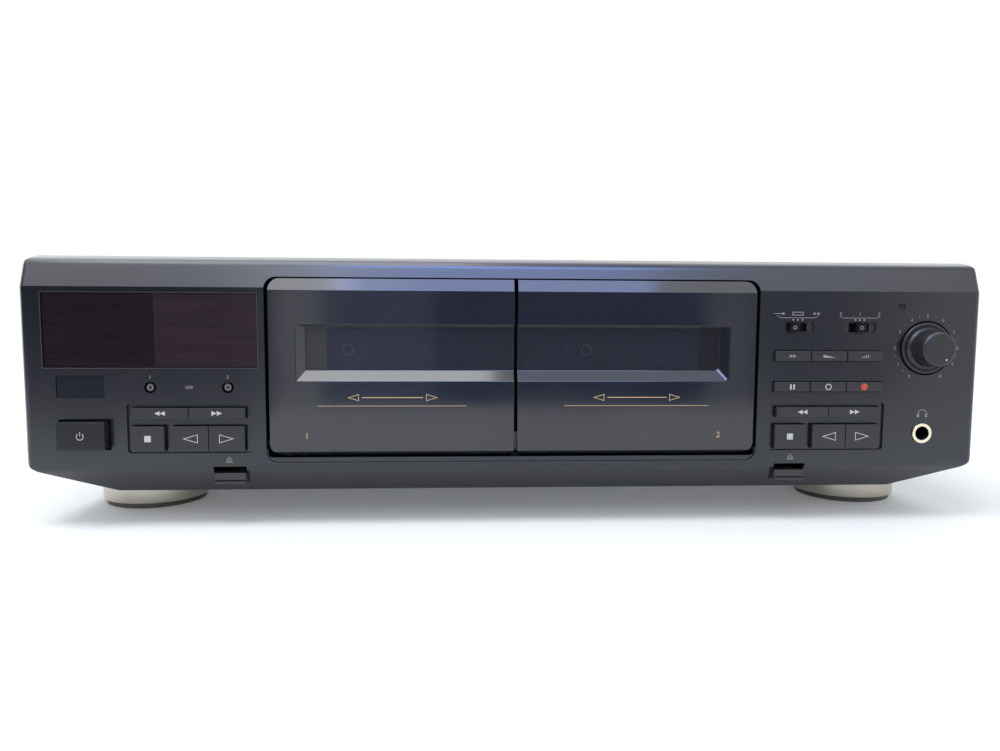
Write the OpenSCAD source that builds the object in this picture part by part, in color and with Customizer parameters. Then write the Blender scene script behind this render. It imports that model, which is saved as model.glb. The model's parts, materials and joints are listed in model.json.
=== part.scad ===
// Double cassette deck in millimetres. +Z is up, the front looks along -Y,
// and the origin is the middle of the footprint on the floor.

/* [Cabinet] */
// Width over the front panel
deck_w = 430; // [426:1:436]
// Height from the floor to the top of the front panel
deck_h = 120; // [119.5:0.5:123]
// Depth from the flat front face to the back of the rear panel
body_d = 270; // [262:1:290]
// Depth of the front moulding
panel_d = 26; // [26:0.5:28]
// Wall thickness of the front moulding
wall = 3; // [2.6:0.1:3.2]
// Thickness of the steel sheet
sheet = 1.2; // [1:0.1:1.4]
// Radius of the top corners of the front moulding
corner_r = 6.5; // [4:0.5:8]
// Slope of the upper bevel from the vertical, in degrees
bevel_angle = 20; // [17:1:23]
// Height of the upper bevel
bevel_h = 13.5; // [13:0.1:14]
// Number of cooling slots in each half of the top cover
vent_count = 10; // [6:1:12]

/* [Feet] */
// Height of the front moulding above the floor
foot_h = 14; // [13:0.5:15]
// Diameter of the front feet
front_foot_d = 50; // [40:1:54]
// Diameter of the rear feet
rear_foot_d = 32; // [26:1:40]
// Distance of the feet from the sides
foot_inset = 35; // [30:1:45]

/* [Doors] */
// Width of one door
door_w = 108.7; // [108.2:0.05:109.1]
// Thickness of the door glass
door_t = 2.5; // [2.2:0.1:2.7]
// Depth of the window pocket in the doors
pocket_d = 4; // [3.5:0.25:4.5]
// Distance between the doors and the edge of their opening
door_gap = 1.5; // [1.2:0.1:1.8]
// Diameter of the door hinge pins
hinge_d = 3; // [2.6:0.1:3.2]

/* [Controls] */
// Travel of the small keys
key_travel = 1.2; // [0.8:0.1:1.4]
// Distance that the keys stand out of the panel
key_out = 1.6; // [1:0.1:2.4]
// Distance that the power button stands out of the panel
power_out = 5; // [4:0.25:6]
// Diameter of the skirt of the recording level knob
skirt_d = 23.6; // [22:0.2:24]
// Distance that the level knob stands out of the panel
knob_out = 11; // [9:0.5:13]
// Bore of the headphone socket
phones_d = 6.4; // [6.3:0.05:6.6]

/* [Tape drive] */
// Distance between the two reel spindles of a cassette
hub_pitch = 42.5; // [42:0.1:43]
// Diameter of the capstan shafts
capstan_d = 2.6; // [2:0.1:3]
// Diameter of the flywheels
flywheel_d = 44; // [40:0.5:45]
// Diameter of the motor pulleys
pulley_d = 8; // [7:0.5:10]
// Diameter of the pinch rollers
roller_d = 11; // [10:0.25:11.5]
// Travel of the head carriage
head_travel = 6.5; // [6.2:0.1:6.8]

/* [Hidden] */
$fn = 64;
eps = 1;
// Clearance between pieces that slide past each other
slack = 0.3;
// Outward reach of the line sockets
socket_len = 8;
socket_plate = 1.6;
socket_out = socket_len + socket_plate;
front_y = knob_out - (knob_out + body_d + socket_out) / 2;

// Front moulding
half_w = deck_w / 2;
foot_x = half_w - foot_inset;
low_bevel_z = 26.5;
low_bevel_d = 12;
low_round = 7;
cut_x = 34.5;
cut_r = 8;
top_round = 7;
edge_r = 3;
edge_steps = 3;
round_steps = 6;
flat_top = deck_h - bevel_h;
round_z = deck_h - top_round;
tangent_z = round_z + top_round * sin(bevel_angle);
tangent_y = (tangent_z - flat_top) * tan(bevel_angle);
round_y = tangent_y + top_round * cos(bevel_angle);
low_angle = atan(low_bevel_d / (low_bevel_z - foot_h));
cut_angle = atan(cut_x / (low_bevel_z - foot_h));
low_run_out = low_round * tan(low_angle / 2);

// Doors
door_in = door_gap / 2;
door_out = door_in + door_w;
door_c = (door_in + door_out) / 2;
door_low = 32.3;
door_top = deck_h - 9.2;
door_bevel_h = 5.5;
door_lip = 1.5;
door_r = 5;
opening_half = door_out + door_gap;
opening_low = door_low - 3.5;
opening_top = door_top + 0.5;
lip_front = 0.8;
lip_t = 0.8;
lip_h = 2.2;
lip_side = 0.6;
lip_reach = 6;
lip_r = 2;
door_h = door_top - door_low;
// Ratio of the door height to a door that just takes a cassette
drive_scale = door_h / 78.7;
pocket_t = 2;
pocket_low = door_low + 33 * drive_scale;
pocket_high = door_low + 58.25 * drive_scale;
pocket_x = 97.5;
low_run = 4.6;
high_run = 0.6;
side_run = 3.5;
pocket_back = pocket_d + pocket_t;
tunnel_t = 2;
tunnel_back = 22;
hinge_y = 6;
hinge_z = 36.5;
hinge_reach = 1.7;
hinge_end = 0.4;
post_w = 3.8;
post_front = 3.6;
post_back = 12;
post_top = 42;
post_shoulder = 35;
post_foot_y = 6.3;
post_foot_z = 29.8;

// Cassette holder
holder_half = 51;
holder_t = 1.7;
holder_front = door_t;
holder_back = 21.5;
holder_low = 33;
holder_top = door_top - 9.7;
hook_in = 32;
hook_low = door_low + 9.5 * drive_scale;
hook_t = 2;
hook_front = 9;
bar_low = pocket_high + 3.5;
bar_high = door_top - 6.7;
apron_high = pocket_low - 4;
frame_t = 2;

// Places on the front: across the flat beside the doors, and up from a line above the lower bevel
flat_w = 103.5;
flat_h = 76.5;
flat_low = low_bevel_z + 3.5;
side_scale = (half_w - opening_half) / flat_w;
up_scale = (flat_top - flat_low) / flat_h;
function across(distance) = opening_half + distance * side_scale;
function upward(distance) = flat_low + distance * up_scale;

// Windows and lamp in the front
display_x = -across(48.7);
display_z = upward(57.55);
display_w = 90.9 * side_scale;
display_h = 32.5 * up_scale;
display_set = 0.6;
sensor_x = -across(79);
sensor_z = upward(32.9);
sensor_w = 20.3 * side_scale;
sensor_h = 9.7 * up_scale;
lamp_x = across(65.9);
lamp_z = upward(69.7);
lamp_w = 2.8;
lamp_h = 2.4;
pane_lip = 1;
pane_t = 1.5;
pane_fit = 0.1;
tube_len = 7.5;

// Keys
cluster_x = across(32.9);
recess_w = 53.6 * side_scale;
recess_h = 22 * up_scale;
recess_z = upward(14.4);
recess_d = 1.2;
wind_z = upward(21.3);
wind_h = 4.6 * up_scale;
wind_pitch = 24.4 * side_scale;
play_z = upward(10);
play_h = 11 * up_scale;
play_pitch = 15.7 * side_scale;
play_x = 8.35 * side_scale;
stop_x = -17.7 * side_scale;
stop_w = 14.4 * side_scale;
row_x = across(32.3);
row_pitch = 16.8 * side_scale;
row_h = 4.5 * up_scale;
dub_z = upward(47);
rec_z = upward(32.9);
flange_t = 1.2;
flange_lip = 0.8;
pad_back = recess_d + wall;
key_back = pad_back + slack + flange_t + slack;
switch_front = key_back + key_travel + slack;
switch_t = 1.2;
switch_w = 4;
board_y = switch_front + switch_t;
board_t = 1.6;
power_x = -across(77.64);
power_z = upward(11.7);
power_w = 21.2 * side_scale;
power_h = 13 * up_scale;
power_travel = 2.5;
power_back = board_y - power_travel - slack;
reset_x = [-across(49.3), -across(16.1)];
reset_z = upward(32.6);
reset_hole = 5.2;
reset_d = 3.4;
reset_flange = 7.4;
eject_x = across(16.26);
eject_w = 14.4 * side_scale;
eject_low = foot_h + 4.8;
eject_high = foot_h + 13.1;
eject_t = 5;
eject_front = 0.6;
eject_back = 15.2;
eject_flange = 3;

// Slide switches
slider_x = [across(17.5), across(46.4)];
slider_z = upward(60);
slider_step = 2.1;
slider_w = 4.6;
slider_h = 3.4;
slider_out = 2.4;
slider_plate_w = 17;
slider_plate_h = 7;
bezel_w = 15.5;
bezel_h = 5.4;
bezel_d = 0.8;

// Level knob and headphone socket
knob_x = across(78.3);
knob_z = upward(50.7);
well_d = skirt_d + 1.6;
well_depth = 2;
knob_shaft_d = 6;
cap_d = 15.6;
pot_d = 17;
pot_len = 9;
phones_x = across(78);
phones_z = upward(11.1);
phones_ring_d = 9.2;
phones_ring_t = 0.8;
phones_sleeve_d = 8.6;
phones_body = 13;
phones_len = 28;

// Places and treads of the feet
front_foot_y = panel_d + 30;
rear_foot_y = body_d - 40;
tread_h = 2.5;
tread_in = 1.5;

// Cover, pan and rear panel
cover_half = half_w - 3;
cover_top = deck_h - 1.4;
base_z = foot_h + 4;
cover_low = base_z + 2;
cover_r = 3;
pan_half = cover_half - sheet - 0.4;
pan_lip = 26;
front_lip = 12;
upstand_x = half_w - 40;
upstand_z = base_z + 8;
vent_w = 4;
vent_len = 60;
vent_pitch = 12;
vent_x = 30;
vent_y = 110;
screw_y = [60, 215];
screw_z = 30;
screw_head_d = 8;
screw_head_t = 2;
screw_d = 3.4;
screw_len = 6;

// Tape drive
plate_t = 1.5;
plate_y = 26;
plate_half = 54;
plate_low = 31;
plate_high = door_top - 2.7;
back_plate_y = 46;
capstan_x = 24.5;
capstan_z = door_low + 20 * drive_scale;
capstan_tip = 14;
reel_z = door_low + 46.4 * drive_scale;
reel_d = 17;
reel_tip = 14.6;
spindle_d = 6.4;
reel_front = 21;
reel_gap = 0.6;
reel_shaft_d = 2.4;
reel_clip_d = 6;
fin_t = 1.2;
fin_reach = 4.2;
wheel_y = 32;
wheel_t = 7;
motor_x = 36;
motor_z = plate_high - 15;
motor_d = 30;
motor_len = 24;
motor_shaft_d = 2;
shaft_in = 8;
belt_t = 1;
belt_w = 3;
belt_y = wheel_y + (wheel_t - belt_w) / 2;
belt_step = 8;
roller_w = 8;
roller_y = 13;
roller_pin_d = 2.2;
lift = head_travel * drive_scale;
roller_z = capstan_z - capstan_d / 2 - roller_d / 2 - lift - slack;
carriage_y = 24.2;
carriage_half = 31;
carriage_low = door_low + 1;
carriage_high = roller_z + 5;
carriage_t = 1.6;
head_w = 13;
head_front = 12;
head_low = carriage_low;
head_high = carriage_high - 0.4;
roller_cap_d = 4.4;
roller_cap_t = 0.9;

// Rear fittings and insides
gland_x = -150;
gland_z = 42;
gland_d = 12;
gland_flange = 16;
gland_bore = 7;
gland_out = 5;
line_x = 140;
line_z = 72;
line_pitch = 15;
line_d = 8.3;
line_bore = 3.4;
block_w = 34;
core_x = 62.4 - pan_half;
core_y = 190;
core_w = 66;
core_d = 40;
core_h = 56;
coil_w = 42;
coil_d = 58;
coil_h = 34;
main_x = pan_half - 150.4;
main_y = 195;
main_w = 250;
main_d = 110;
main_z = base_z + sheet + 8;
standoff_d = 6;
can_d = [16, 16, 12, 12, 10];
can_h = [30, 30, 22, 22, 16];
can_pitch = 26;
boss_d = 5;
boss_left = [[-across(63), upward(22)], [-across(32.9), upward(31.6)]];
boss_right = [[across(32.7), upward(40)], [across(62.9), upward(27)]];
left_board_x = [-across(94.5), -across(4.5)];
left_board_z = [upward(3), upward(36)];
right_board_x = [across(4.5), across(66.5)];
right_board_z = [upward(3), upward(66)];

// Shared helpers: all pieces are drawn with y = 0 on the flat front face
module placed() {
    translate([0, front_y, 0]) children();
}

module at_deck(side) {
    placed() translate([side * door_c, 0, 0]) children();
}

module box(x, y, z) {
    translate([x[0], y[0], z[0]]) cube([x[1] - x[0], y[1] - y[0], z[1] - z[0]]);
}

module slab_x(x) {
    translate([x[0], 0, 0]) rotate([90, 0, 90]) linear_extrude(x[1] - x[0]) children();
}

module slab_y(y) {
    translate([0, y[1], 0]) rotate([90, 0, 0]) linear_extrude(y[1] - y[0]) children();
}

module slab_z(z) {
    translate([0, 0, z[0]]) linear_extrude(z[1] - z[0]) children();
}

module rod_y(x, z, d, y) {
    translate([x, y[0], z]) rotate([-90, 0, 0]) cylinder(d = d, h = y[1] - y[0]);
}

module rod_x(x, y, z, d) {
    translate([x[0], y, z]) rotate([0, 90, 0]) cylinder(d = d, h = x[1] - x[0]);
}

module rounded(x, z, r) {
    translate([x[0] + r, z[0]]) square([x[1] - x[0] - 2 * r, z[1] - z[0]]);
    translate([x[0], z[0] + r]) square([x[1] - x[0], z[1] - z[0] - 2 * r]);
    for (u = [x[0] + r, x[1] - r], v = [z[0] + r, z[1] - r]) translate([u, v]) circle(r);
}

function about(middle, size) = [middle - size / 2, middle + size / 2];
function grown(range, by) = [range[0] - by, range[1] + by];
function turned(from, to, part) = from + (to - from) * part;
function arc(middle, r, from, to, n) =
    [for (i = [0 : n]) middle + r * [cos(turned(from, to, i / n)), sin(turned(from, to, i / n))]];

// Front moulding: a thin shell with an upper and a lower bevel and cut lower corners
module panel_outer_profile() {
    low_middle = [low_round, low_bevel_z + low_run_out];
    polygon(concat(arc(low_middle, low_round, 180 + low_angle, 180, round_steps), [[0, flat_top]],
        arc([round_y, round_z], top_round, 180 - bevel_angle, 90, round_steps),
        [[panel_d, deck_h], [panel_d, foot_h], [low_bevel_d, foot_h]]));
}

module panel_inner_profile() {
    top_y = bevel_h * tan(bevel_angle) + wall * tan((90 - bevel_angle) / 2);
    low_y = low_bevel_d + wall * tan((90 - low_angle) / 2);
    polygon([[wall, low_bevel_z + wall * tan(low_angle / 2)], [wall, flat_top - wall * tan(bevel_angle / 2)],
        [top_y, deck_h - wall], [panel_d + eps, deck_h - wall],
        [panel_d + eps, foot_h + wall], [low_y, foot_h + wall]]);
}

module panel_outline(inset) {
    side = half_w - inset;
    corner = half_w - corner_r;
    cut = half_w - cut_x - inset * tan((90 - cut_angle) / 2);
    cut_z = low_bevel_z + cut_r * tan(cut_angle / 2);
    round_x = half_w - cut_r;
    half = concat([[0, foot_h + inset], [cut, foot_h + inset]],
        arc([round_x, cut_z], cut_r - inset, -cut_angle, 0, round_steps),
        [[side, deck_h - corner_r], [corner, deck_h - inset], [0, deck_h - inset]]);
    for (s = [0, 1]) mirror([s, 0]) {
        polygon(half);
        translate([corner, deck_h - corner_r]) circle(corner_r - inset);
    }
}

module panel_plan() {
    middle = half_w - edge_r;
    polygon(concat(arc([middle, edge_r], edge_r, -90, 0, edge_steps), [[half_w, 2 * panel_d], [-half_w, 2 * panel_d]],
        arc([-middle, edge_r], edge_r, 180, 270, edge_steps)));
}

module panel_block() {
    intersection() {
        slab_x([-half_w, half_w]) panel_outer_profile();
        slab_y([-eps, panel_d + eps]) panel_outline(0);
        union() {
            slab_z([0, flat_top]) panel_plan();
            translate([0, 0, flat_top]) rotate([-bevel_angle, 0, 0]) slab_z([0, 2 * bevel_h]) panel_plan();
        }
    }
}

module panel_hollow() {
    intersection() {
        slab_x([-half_w, half_w]) panel_inner_profile();
        slab_y([0, panel_d + 2 * eps]) panel_outline(wall);
    }
}

module opening_outline(margin) {
    rounded(grown([-opening_half, opening_half], margin), grown([opening_low, opening_top], margin), door_r + margin);
}

module panel_inside() {
    slab_y([eps, tunnel_back]) opening_outline(tunnel_t);
    for (s = [-1, 1])
        box(about(s * cluster_x, recess_w + 2), [eps, pad_back], about(recess_z, recess_h + 2));
    rod_y(knob_x, knob_z, well_d + 2 * wall, [eps, well_depth + wall]);
    for (p = concat(boss_left, boss_right)) rod_y(p[0], p[1], boss_d, [eps, board_y]);
    box([-upstand_x, upstand_x], [panel_d - wall, panel_d], [foot_h, upstand_z]);
}

module hinge_post() {
    slab_x(about(0, post_w)) polygon([[post_front, post_shoulder], [post_foot_y, post_foot_z],
        [post_foot_y, opening_low - tunnel_t], [post_back, opening_low - tunnel_t],
        [post_back, post_top], [post_front, post_top]]);
}

module pane_hole(x, z, w, h) {
    box(about(x, w), [-eps, wall + eps], about(z, h));
}

module key_slot(x, z, w, h) {
    box(about(x, w + 2 * slack), [-eps, pad_back + eps], about(z, h + 2 * slack));
}

module cluster_cuts(x) {
    slab_y([-eps, recess_d]) rounded(about(x, recess_w), about(recess_z, recess_h), 1.5);
    key_slot(x, wind_z, 2 * wind_pitch, wind_h);
    key_slot(x + stop_x, play_z, stop_w, play_h);
    key_slot(x + play_x, play_z, 2 * play_pitch, play_h);
}

module opening_lip() {
    slab_y([lip_front, lip_front + lip_t]) difference() {
        intersection() {
            opening_outline(eps);
            translate([-half_w, 0]) square([deck_w, opening_low + lip_reach]);
        }
        rounded(grown([-opening_half, opening_half], -lip_side), [opening_low + lip_h, opening_top], lip_r);
    }
}

module panel_cuts() {
    pane_hole(display_x, display_z, display_w, display_h);
    pane_hole(sensor_x, sensor_z, sensor_w, sensor_h);
    pane_hole(lamp_x, lamp_z, lamp_w, lamp_h);
    for (s = [-1, 1]) {
        cluster_cuts(s * cluster_x);
        box(about(s * eject_x, eject_w), [-eps, eject_back - flange_t - slack], [eject_low, eject_high]);
    }
    key_slot(power_x, power_z, power_w, power_h);
    for (z = [dub_z, rec_z]) key_slot(row_x, z, 3 * row_pitch, row_h);
    for (x = reset_x) rod_y(x, reset_z, reset_hole, [-eps, wall + eps]);
    for (x = slider_x) {
        slab_y([-eps, bezel_d]) rounded(about(x, bezel_w), about(slider_z, bezel_h), bezel_h / 3);
        box(about(x, slider_w + 2 * slider_step + 2 * slack), [-eps, wall + eps],
            about(slider_z, slider_h + 2 * slack));
    }
    rod_y(knob_x, knob_z, well_d, [-eps, well_depth]);
    rod_y(knob_x, knob_z, knob_shaft_d + 4 * slack, [-eps, well_depth + wall + eps]);
    rod_y(phones_x, phones_z, phones_sleeve_d + slack, [-eps, wall + eps]);
    rod_x(grown([-opening_half, opening_half], tunnel_t + eps), hinge_y, hinge_z, hinge_d + 2 * slack);
}

module front_panel() {
    color("#3b3e45") placed() difference() {
        union() {
            difference() {
                union() {
                    difference() {
                        panel_block();
                        panel_hollow();
                    }
                    intersection() {
                        panel_block();
                        panel_inside();
                    }
                }
                slab_y([-eps, panel_d + eps]) opening_outline(0);
            }
            hinge_post();
            opening_lip();
        }
        panel_cuts();
    }
}

// Windows, lamp and headphone socket of the front
module pane(x, z, w, h, front) {
    box(about(x, w - 2 * pane_fit), [front, wall + eps / 2], about(z, h - 2 * pane_fit));
    box(about(x, w + 2 * pane_lip), [wall, wall + pane_t], about(z, h + 2 * pane_lip));
}

module display_window() {
    color("#241a1e") placed() pane(display_x, display_z, display_w, display_h, display_set);
}

module front_lenses() {
    color("#1b1d33") placed() {
        pane(sensor_x, sensor_z, sensor_w, sensor_h, display_set / 2);
        pane(lamp_x, lamp_z, lamp_w, lamp_h, display_set / 2);
    }
}

module phones_jack() {
    color("#d8cfae") placed() difference() {
        union() {
            rod_y(phones_x, phones_z, phones_ring_d, [-phones_ring_t, 0]);
            rod_y(phones_x, phones_z, phones_sleeve_d, [-phones_ring_t, wall + eps]);
            box(about(phones_x, phones_body), [wall, phones_len], about(phones_z, phones_body));
        }
        rod_y(phones_x, phones_z, phones_d, [-eps - phones_ring_t, phones_len - wall]);
    }
}

// Sheet steel cover, pan and rear panel
module cover_outline(inset) {
    side = cover_half - inset;
    top = cover_top - inset;
    r = cover_r - inset;
    low = cover_low - inset * 2;
    polygon([[-side, low], [side, low], [side, top - r], [side - r, top], [r - side, top], [-side, top - r]]);
    for (s = [-1, 1]) translate([s * (side - r), top - r]) circle(r);
}

module top_cover() {
    vent_run = (vent_count - 1) * vent_pitch;
    color("#2a2b2f") placed() difference() {
        slab_y([panel_d, body_d]) difference() {
            cover_outline(0);
            cover_outline(sheet);
        }
        for (s = [-1, 1], i = [0 : vent_count - 1])
            slab_z([cover_top - 2 * sheet, cover_top + eps])
                rounded(about(s * (vent_x + vent_run / 2) + i * vent_pitch - vent_run / 2, vent_w),
                    [vent_y, vent_y + vent_len], vent_w / 2 - 0.01);
        for (s = [-1, 1], y = screw_y) rod_x(grown([-cover_half, cover_half], eps), y, screw_z, screw_d + slack);
    }
}

module chassis() {
    base_top = base_z + sheet;
    color("#9a9c9e") placed() difference() {
        union() {
            box([-pan_half, pan_half], [panel_d, body_d - sheet], [base_z, base_top]);
            for (s = [-1, 1])
                box(about(s * (pan_half - sheet / 2), sheet), [panel_d, body_d - sheet], [base_z, base_z + pan_lip]);
            box([-pan_half, pan_half], [panel_d, panel_d + sheet], [base_z, base_z + front_lip]);
        }
        for (y = screw_y) rod_x([-pan_half - eps, pan_half + eps], y, screw_z, screw_d + slack);
    }
}

module line_places() {
    for (u = [-1, 1], v = [-1, 1]) translate([line_x + u * line_pitch / 2, 0, line_z + v * line_pitch / 2]) children();
}

module rear_panel() {
    color("#85878a") placed() difference() {
        slab_y([body_d - sheet, body_d]) rounded([-pan_half, pan_half], [base_z, cover_top - sheet], cover_r);
        line_places() rod_y(0, 0, line_d + slack, [body_d - sheet - eps, body_d + eps]);
        rod_y(gland_x, gland_z, gland_d + slack, [body_d - sheet - eps, body_d + eps]);
    }
}

module rear_fittings() {
    color("#222222") placed() {
        difference() {
            union() {
                box(about(line_x, block_w), [body_d, body_d + socket_plate], about(line_z, block_w));
                line_places() rod_y(0, 0, line_d, [body_d - 2 * sheet, body_d + socket_out]);
            }
            line_places() rod_y(0, 0, line_bore, [body_d, body_d + socket_out + eps]);
        }
        difference() {
            union() {
                rod_y(gland_x, gland_z, gland_flange, [body_d, body_d + gland_out]);
                rod_y(gland_x, gland_z, gland_d, [body_d - 4 * sheet, body_d + gland_out]);
            }
            rod_y(gland_x, gland_z, gland_bore, [body_d - 5 * sheet, body_d + gland_out + eps]);
        }
    }
}

module cover_screws() {
    color("#17171a") placed() for (s = [0, 1], y = screw_y) mirror([s, 0, 0]) {
        rod_x([cover_half, cover_half + screw_head_t], y, screw_z, screw_head_d);
        rod_x([cover_half - screw_len, cover_half + screw_head_t], y, screw_z, screw_d);
    }
}

// Feet: front discs with a set-back tread, plainer rear feet

module foot(d, y) {
    for (s = [-1, 1]) translate([s * foot_x, y, 0]) {
        cylinder(d = d - 2 * tread_in, h = tread_h + eps);
        translate([0, 0, tread_h]) cylinder(d = d, h = base_z - tread_h);
    }
}

module front_feet() {
    color("#c9c0ae") placed() foot(front_foot_d, front_foot_y);
}

module rear_feet() {
    color("#1c1c1e") placed() foot(rear_foot_d, rear_foot_y);
}

// Boards, switches, display tube, level potentiometer and supply
module switch_at(x, z) {
    box(about(x, switch_w), [switch_front, board_y + eps], about(z, switch_w));
}

module cluster_switches(x) {
    for (s = [-1, 1]) switch_at(x + s * wind_pitch / 2, wind_z);
    switch_at(x + stop_x, play_z);
    for (s = [-1, 1]) switch_at(x + play_x + s * play_pitch / 2, play_z);
}

module left_board() {
    box(left_board_x, [board_y, board_y + board_t], left_board_z);
    cluster_switches(-cluster_x);
    for (x = reset_x) switch_at(x, reset_z);
}

module right_board() {
    slide_front = wall + 2 * slack + flange_t;
    box(right_board_x, [board_y, board_y + board_t], right_board_z);
    cluster_switches(cluster_x);
    for (i = [-1 : 1], z = [dub_z, rec_z]) switch_at(row_x + i * row_pitch, z);
    for (x = slider_x)
        box(about(x, slider_plate_w), [slide_front, board_y + eps], about(slider_z, slider_plate_h));
}

module display_unit() {
    tube_front = wall + pane_t;
    tube_margin = 6;
    box(about(display_x, display_w - 2 * tube_margin), [tube_front, tube_front + tube_len],
        about(display_z, display_h - tube_margin));
    box(about(display_x, display_w - tube_margin), [tube_front + tube_len, tube_front + tube_len + board_t],
        about(display_z, display_h));
}

module level_potentiometer() {
    pot_front = well_depth + wall;
    difference() {
        rod_y(knob_x, knob_z, pot_d, [pot_front, pot_front + pot_len]);
        rod_y(knob_x, knob_z, knob_shaft_d + 4 * slack, [pot_front - eps, pot_front + pot_len - 1]);
    }
}

module main_board() {
    box(about(main_x, main_w), about(main_y, main_d), [main_z, main_z + board_t]);
    for (u = [-1, 1], v = [-1, 1])
        translate([main_x + u * (main_w / 2 - standoff_d), main_y + v * (main_d / 2 - standoff_d), base_z + sheet])
            cylinder(d = standoff_d, h = main_z - base_z);
    for (i = [0 : len(can_d) - 1])
        translate([main_x - main_w / 3 + i * can_pitch, main_y, main_z]) cylinder(d = can_d[i], h = can_h[i]);
}

module circuit_boards() {
    color("#3f5a3a") placed() {
        left_board();
        right_board();
        display_unit();
        level_potentiometer();
        main_board();
    }
}

module transformer() {
    base = base_z + sheet;
    color("#6b5a45") placed() {
        box(about(core_x, core_w), about(core_y, core_d), [base, base + core_h]);
        box(about(core_x, coil_w), about(core_y, coil_d), about(base + core_h / 2, coil_h));
    }
}

// Tape drive: steel plates on posts, motors, belts, flywheels, reels, heads
post_d = 6;
post_places = [[-50.5, plate_high - 9], [50.5, plate_high - 6], [0, capstan_z - 15]];

module drive_frame() {
    difference() {
        union() {
            box([-plate_half, plate_half], [plate_y, plate_y + plate_t], [plate_low, plate_high]);
            box([-plate_half, plate_half], [back_plate_y, back_plate_y + plate_t], [base_z + sheet, plate_high]);
            for (p = post_places) rod_y(p[0], p[1], post_d, [plate_y, back_plate_y + plate_t]);
        }
        for (s = [-1, 1]) {
            rod_y(s * hub_pitch / 2, reel_z, reel_shaft_d + 2 * slack, [plate_y - eps, plate_y + plate_t + eps]);
            rod_y(s * capstan_x, capstan_z, capstan_d + 2 * slack, [plate_y - eps, plate_y + plate_t + eps]);
        }
        rod_y(motor_x, motor_z, motor_shaft_d + 8 * slack, [back_plate_y - eps, back_plate_y + plate_t + eps]);
    }
}

module mechanism_plates() {
    color("#25262a") for (s = [-1, 1]) at_deck(s) drive_frame();
}

module motor() {
    front = back_plate_y + plate_t;
    difference() {
        rod_y(motor_x, motor_z, motor_d, [front, front + motor_len]);
        rod_y(motor_x, motor_z, motor_shaft_d + 2 * slack, [front - eps, front + shaft_in + 1]);
    }
}

module motors() {
    color("#b7b9ba") for (s = [-1, 1]) at_deck(s) motor();
}

function steps(from, to) = ceil(abs(to - from) / belt_step);

wheel_r = flywheel_d / 2 + slack + belt_t / 2;
pulley_r = pulley_d / 2 + slack + belt_t / 2;
left_wheel = [-capstan_x, capstan_z];
right_wheel = [capstan_x, capstan_z];
drive_wheel = [motor_x, motor_z];
cross_angle = acos(wheel_r / capstan_x);
to_motor = drive_wheel - right_wheel;
leave_angle = atan2(to_motor[1], to_motor[0]) + acos((wheel_r + pulley_r) / norm(to_motor));
to_left = left_wheel - drive_wheel;
top_angle = 360 + atan2(to_left[1], to_left[0]) - acos((pulley_r - wheel_r) / norm(to_left));

// The belt wraps the left flywheel and the pulley from inside and the right flywheel from outside,
// so that the two capstans turn opposite ways
module belt_outline(side) {
    shift = side * belt_t / 2;
    around = 360 - cross_angle;
    meet = 180 - cross_angle;
    back = leave_angle - 180;
    polygon(concat(arc(left_wheel, wheel_r + shift, top_angle, around, steps(top_angle, around)),
        arc(right_wheel, wheel_r - shift, meet, leave_angle, steps(meet, leave_angle)),
        arc(drive_wheel, pulley_r + shift, back, top_angle, steps(back, top_angle))));
}

module drive_belts() {
    color("#151515") for (s = [-1, 1]) at_deck(s) slab_y([belt_y, belt_y + belt_w]) difference() {
        belt_outline(1);
        belt_outline(-1);
    }
}

module motor_pulley() {
    rim = 0.8;
    rim_h = 1.3;
    far = belt_y + belt_w + 0.2;
    near = belt_y - 0.2;
    rod_y(motor_x, motor_z, pulley_d, [near - rim, far + rim]);
    for (y = [near - rim, far]) rod_y(motor_x, motor_z, pulley_d + 2 * rim_h, [y, y + rim]);
    rod_y(motor_x, motor_z, motor_shaft_d, [near - rim, back_plate_y + plate_t + shaft_in]);
}

module motor_pulley_a() {
    color("#c8a850") at_deck(-1) motor_pulley();
}

module motor_pulley_b() {
    color("#c8a850") at_deck(1) motor_pulley();
}

module capstan(side) {
    x = side * capstan_x;
    rod_y(x, capstan_z, capstan_d, [capstan_tip, back_plate_y - slack]);
    rod_y(x, capstan_z, flywheel_d, [wheel_y, wheel_y + wheel_t]);
}

module capstan_a_left() {
    color("#b0b2b4") at_deck(-1) capstan(-1);
}

module capstan_a_right() {
    color("#b0b2b4") at_deck(-1) capstan(1);
}

module capstan_b_left() {
    color("#b0b2b4") at_deck(1) capstan(-1);
}

module capstan_b_right() {
    color("#b0b2b4") at_deck(1) capstan(1);
}

module reel(side) {
    x = side * hub_pitch / 2;
    disc_back = plate_y - reel_gap;
    clip_front = plate_y + plate_t + reel_gap;
    rod_y(x, reel_z, reel_d, [reel_front, disc_back]);
    rod_y(x, reel_z, spindle_d, [reel_tip, disc_back]);
    rod_y(x, reel_z, reel_shaft_d, [reel_front, clip_front + 2]);
    rod_y(x, reel_z, reel_clip_d, [clip_front, clip_front + 1]);
    for (a = [0, 120, 240]) translate([x, 0, reel_z]) rotate([0, a, 0])
        box(about(0, fin_t), [reel_tip + 1, reel_front + 1], [0, fin_reach]);
}

module reel_a_left() {
    color("#4a4d52") at_deck(-1) reel(-1);
}

module reel_a_right() {
    color("#4a4d52") at_deck(-1) reel(1);
}

module reel_b_left() {
    color("#4a4d52") at_deck(1) reel(-1);
}

module reel_b_right() {
    color("#4a4d52") at_deck(1) reel(1);
}

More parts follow.
